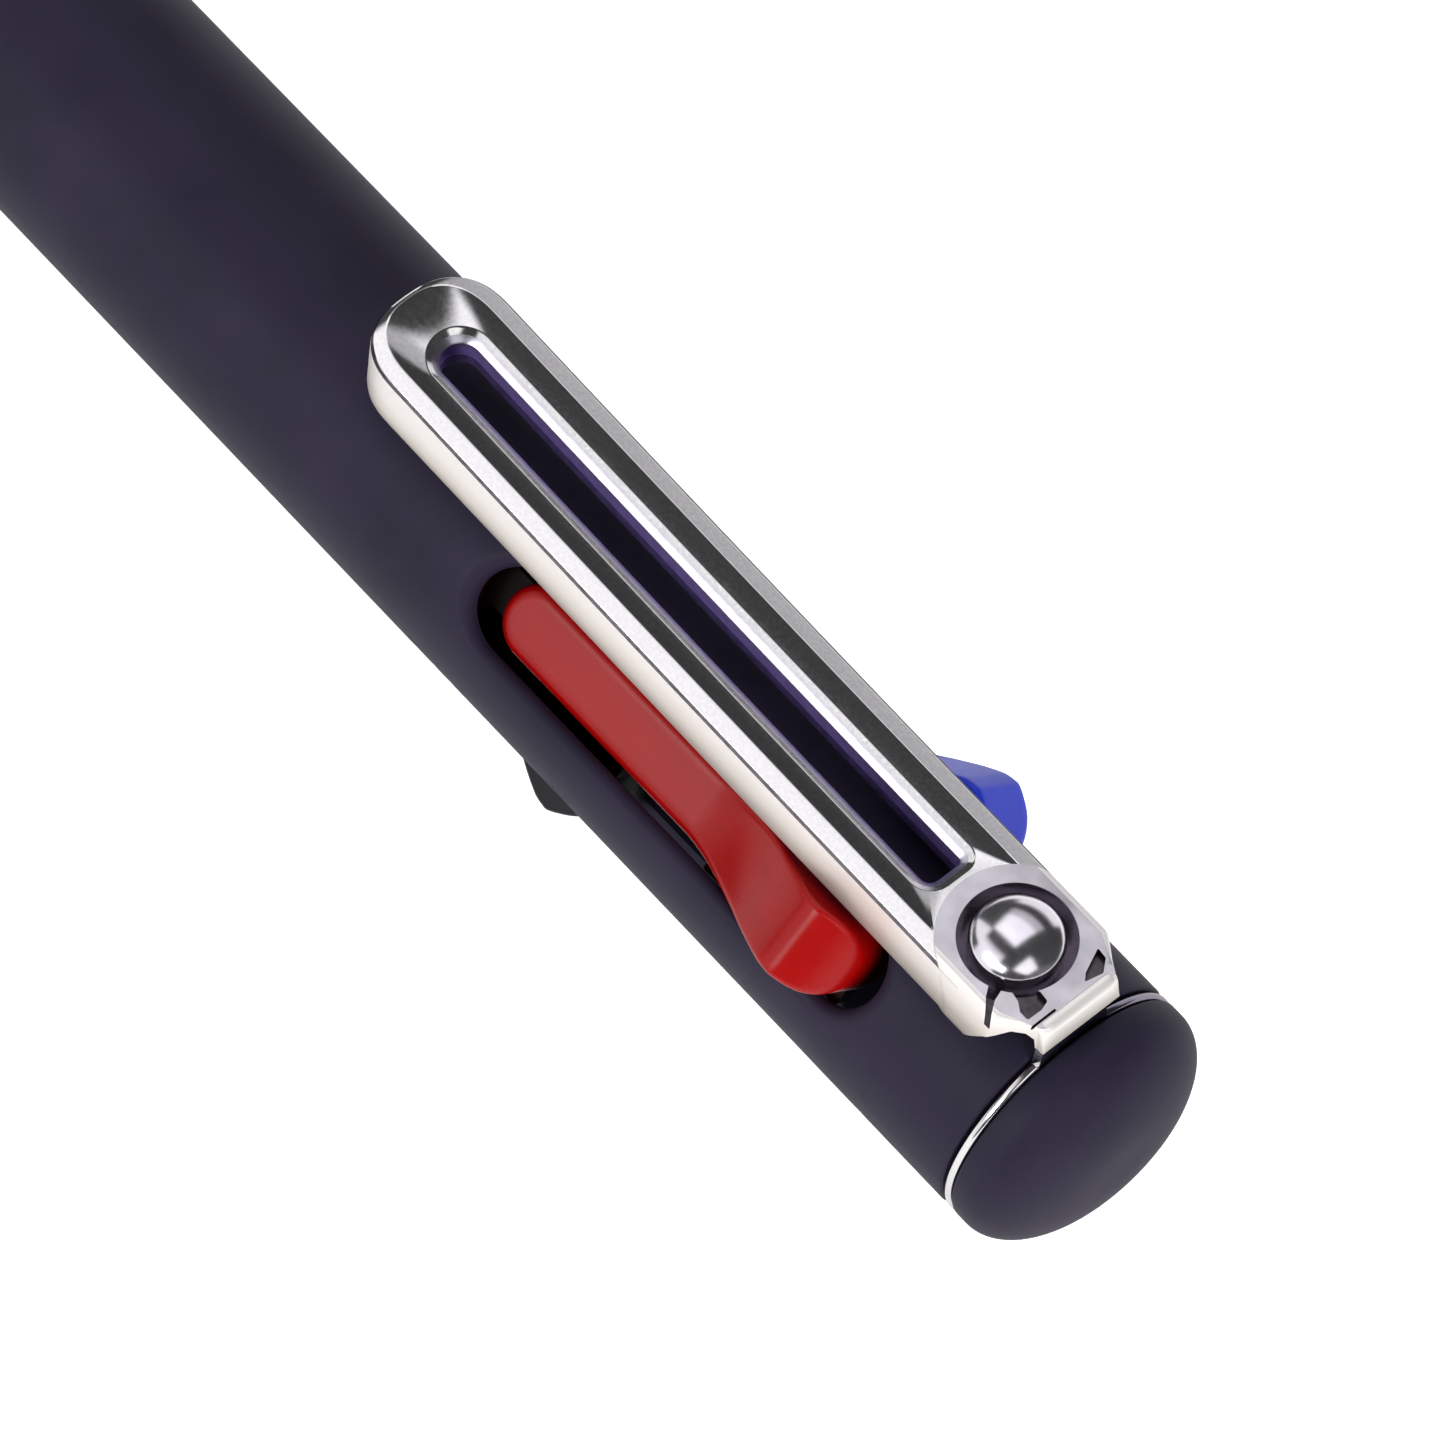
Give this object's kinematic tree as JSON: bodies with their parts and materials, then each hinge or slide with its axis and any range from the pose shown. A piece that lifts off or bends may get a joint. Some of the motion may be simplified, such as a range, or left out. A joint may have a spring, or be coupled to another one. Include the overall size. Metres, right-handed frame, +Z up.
{
  "type": "multicolor ballpoint pen",
  "caption": "Slider ballpoint pen that holds several ink colours, with a matte barrel, a slotted metal clip, an end cap and a metal nose cone.",
  "frame": {"origin": "middle of the pen's length, on its axis seen from above, at the height of its lowest point, which is a slider's thumb", "axes": "+X along the pen from the writing tip to the end cap, +Z up through the clip, +Y towards the blue slider"},
  "size_m": [0.1432, 0.0134, 0.017],
  "materials": {
    "casing": "soft-touch matte",
    "chrome": "polished",
    "brass": "machined",
    "frame": "moulded",
    "steel": "drawn wire",
    "red": "satin",
    "blue": "satin",
    "black": "satin",
    "green": "satin",
    "red_refill": "clear tube with ink",
    "blue_refill": "clear tube with ink",
    "black_refill": "clear tube with ink",
    "green_refill": "clear tube with ink"
  },
  "bodies": {
    "casing": {"upper_barrel": "casing", "end_cap": "casing", "clip_ring": "chrome", "cap_insert": "brass", "inner_frame": "frame", "guide_plate": "frame", "return_spring_red": "steel", "return_spring_blue": "steel", "return_spring_black": "steel", "return_spring_green": "steel"},
    "clip": {"clip": "chrome", "clip_rivet": "chrome"},
    "red_unit": {"slider_red": "red", "refill_tube_red": "red_refill", "refill_tip_red": "brass"},
    "blue_unit": {"slider_blue": "blue", "refill_tube_blue": "blue_refill", "refill_tip_blue": "brass"},
    "black_unit": {"slider_black": "black", "refill_tube_black": "black_refill", "refill_tip_black": "brass"},
    "green_unit": {"slider_green": "green", "refill_tube_green": "green_refill", "refill_tip_green": "brass"},
    "trim": {"trim_ring": "chrome"},
    "front_half": {"lower_barrel": "casing", "nose_cone": "chrome", "joint_sleeve": "brass"}
  },
  "joints": [
    {"name": "red_slide", "type": "slide", "parent": "casing", "child": "red_unit", "axis": [-0.9971, 0.0542, -0.0542], "range_m": [0, 0.01434], "stiffness_N_per_m": 60, "springref_m": -0.008, "deforming": ["return_spring_red"]},
    {"name": "blue_slide", "type": "slide", "parent": "casing", "child": "blue_unit", "axis": [-0.9971, -0.0542, -0.0542], "range_m": [0, 0.01434], "stiffness_N_per_m": 60, "springref_m": -0.008, "deforming": ["return_spring_blue"]},
    {"name": "green_slide", "type": "slide", "parent": "casing", "child": "green_unit", "axis": [-0.9971, -0.0542, 0.0542], "range_m": [0, 0.01434], "stiffness_N_per_m": 60, "springref_m": -0.008, "deforming": ["return_spring_green"]},
    {"name": "black_slide", "type": "slide", "parent": "casing", "child": "black_unit", "axis": [-0.9971, 0.0542, 0.0542], "range_m": [-0.01434, 0], "deforming": ["return_spring_black"]},
    {"name": "clip_flex", "type": "hinge", "parent": "casing", "child": "clip", "pos_m": [0.06788, 0, 0.01429], "axis": [0, 1, 0], "range_deg": [0, 3.5], "stiffness_Nm_per_rad": 1, "springref_deg": -2.86},
    {"name": "front_advance", "type": "slide", "parent": "casing", "child": "trim", "axis": [-1, 0, 0], "range_m": [0, 0.005]},
    {"name": "front_unscrew", "type": "hinge", "parent": "trim", "child": "front_half", "pos_m": [-0.0074, 0, 0.00674], "axis": [-1, 0, 0], "range_deg": [0, 1800]}
  ],
  "couplings": [
    {"joint": "front_unscrew", "follows": "front_advance", "rad_per_m": 6283.2}
  ]
}
